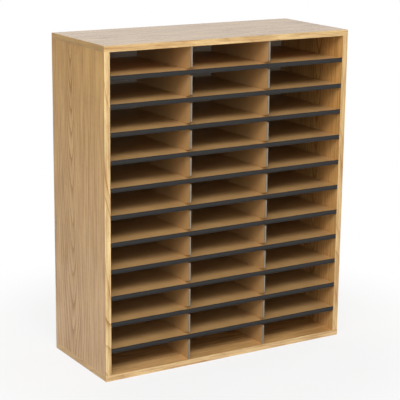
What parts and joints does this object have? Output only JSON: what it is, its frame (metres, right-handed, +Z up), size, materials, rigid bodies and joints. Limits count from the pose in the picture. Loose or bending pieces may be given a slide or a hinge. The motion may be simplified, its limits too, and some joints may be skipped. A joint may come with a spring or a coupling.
{
  "type": "pigeonhole mail sorter",
  "caption": "Open-fronted pigeonhole sorter: a woodgrain board casing divided into letter-size compartments by draw-out shelves, slotted dividers and dark front mouldings.",
  "frame": {"origin": "centre of the footprint, on the surface the sorter stands on", "axes": "+X to the right seen from the front, +Y to the back, +Z up; the open front faces -Y"},
  "size_m": [0.746, 0.2986, 0.8763],
  "materials": {
    "oak_laminate": "oak woodgrain laminate on particle board, satin",
    "oak_edge_band": "light oak woodgrain edge banding, satin",
    "brown_fibreboard": "smooth sealed brown fibreboard, low sheen",
    "dark_hardboard": "hardboard: smooth face inside, painted grey beige; raw dark brown behind",
    "black_moulding_plastic": "extruded black plastic, satin",
    "grey_trim_plastic": "warm grey extruded plastic, satin",
    "brown_plastic": "moulded brown plastic",
    "beech_dowel": "plain turned beech",
    "nail_steel": "bright steel"
  },
  "bodies": {
    "casing": {"top_panel": "oak_laminate", "bottom_panel": "oak_laminate", "left_side_panel": "oak_laminate", "right_side_panel": "oak_laminate", "top_front_band": "oak_edge_band", "bottom_front_band": "oak_edge_band", "left_front_band": "oak_edge_band", "right_front_band": "oak_edge_band", "top_left_end_band": "oak_edge_band", "top_right_end_band": "oak_edge_band", "bottom_left_end_band": "oak_edge_band", "bottom_right_end_band": "oak_edge_band", "back_panel": "dark_hardboard", "back_panel_nails": "nail_steel", "corner_dowels": "beech_dowel", "left_shelf_supports": "brown_plastic", "right_shelf_supports": "brown_plastic", "divider_1": "brown_fibreboard", "divider_1_trims": "grey_trim_plastic", "divider_2": "brown_fibreboard", "divider_2_trims": "grey_trim_plastic"},
    "shelf_tier_01": {"shelf_01": "brown_fibreboard", "shelf_moulding_01": "black_moulding_plastic"},
    "shelf_tier_02": {"shelf_02": "brown_fibreboard", "shelf_moulding_02": "black_moulding_plastic"},
    "shelf_tier_03": {"shelf_03": "brown_fibreboard", "shelf_moulding_03": "black_moulding_plastic"},
    "shelf_tier_04": {"shelf_04": "brown_fibreboard", "shelf_moulding_04": "black_moulding_plastic"},
    "shelf_tier_05": {"shelf_05": "brown_fibreboard", "shelf_moulding_05": "black_moulding_plastic"},
    "shelf_tier_06": {"shelf_06": "brown_fibreboard", "shelf_moulding_06": "black_moulding_plastic"},
    "shelf_tier_07": {"shelf_07": "brown_fibreboard", "shelf_moulding_07": "black_moulding_plastic"},
    "shelf_tier_08": {"shelf_08": "brown_fibreboard", "shelf_moulding_08": "black_moulding_plastic"},
    "shelf_tier_09": {"shelf_09": "brown_fibreboard", "shelf_moulding_09": "black_moulding_plastic"},
    "shelf_tier_10": {"shelf_10": "brown_fibreboard", "shelf_moulding_10": "black_moulding_plastic"},
    "shelf_tier_11": {"shelf_11": "brown_fibreboard", "shelf_moulding_11": "black_moulding_plastic"}
  },
  "joints": [
    {"name": "shelf_01_draw", "type": "slide", "parent": "casing", "child": "shelf_tier_01", "axis": [0, -1, 0], "range_m": [0, 0.3]},
    {"name": "shelf_02_draw", "type": "slide", "parent": "casing", "child": "shelf_tier_02", "axis": [0, -1, 0], "range_m": [0, 0.3]},
    {"name": "shelf_03_draw", "type": "slide", "parent": "casing", "child": "shelf_tier_03", "axis": [0, -1, 0], "range_m": [0, 0.3]},
    {"name": "shelf_04_draw", "type": "slide", "parent": "casing", "child": "shelf_tier_04", "axis": [0, -1, 0], "range_m": [0, 0.3]},
    {"name": "shelf_05_draw", "type": "slide", "parent": "casing", "child": "shelf_tier_05", "axis": [0, -1, 0], "range_m": [0, 0.3]},
    {"name": "shelf_06_draw", "type": "slide", "parent": "casing", "child": "shelf_tier_06", "axis": [0, -1, 0], "range_m": [0, 0.3]},
    {"name": "shelf_07_draw", "type": "slide", "parent": "casing", "child": "shelf_tier_07", "axis": [0, -1, 0], "range_m": [0, 0.3]},
    {"name": "shelf_08_draw", "type": "slide", "parent": "casing", "child": "shelf_tier_08", "axis": [0, -1, 0], "range_m": [0, 0.3]},
    {"name": "shelf_09_draw", "type": "slide", "parent": "casing", "child": "shelf_tier_09", "axis": [0, -1, 0], "range_m": [0, 0.3]},
    {"name": "shelf_10_draw", "type": "slide", "parent": "casing", "child": "shelf_tier_10", "axis": [0, -1, 0], "range_m": [0, 0.3]},
    {"name": "shelf_11_draw", "type": "slide", "parent": "casing", "child": "shelf_tier_11", "axis": [0, -1, 0], "range_m": [0, 0.3]}
  ]
}
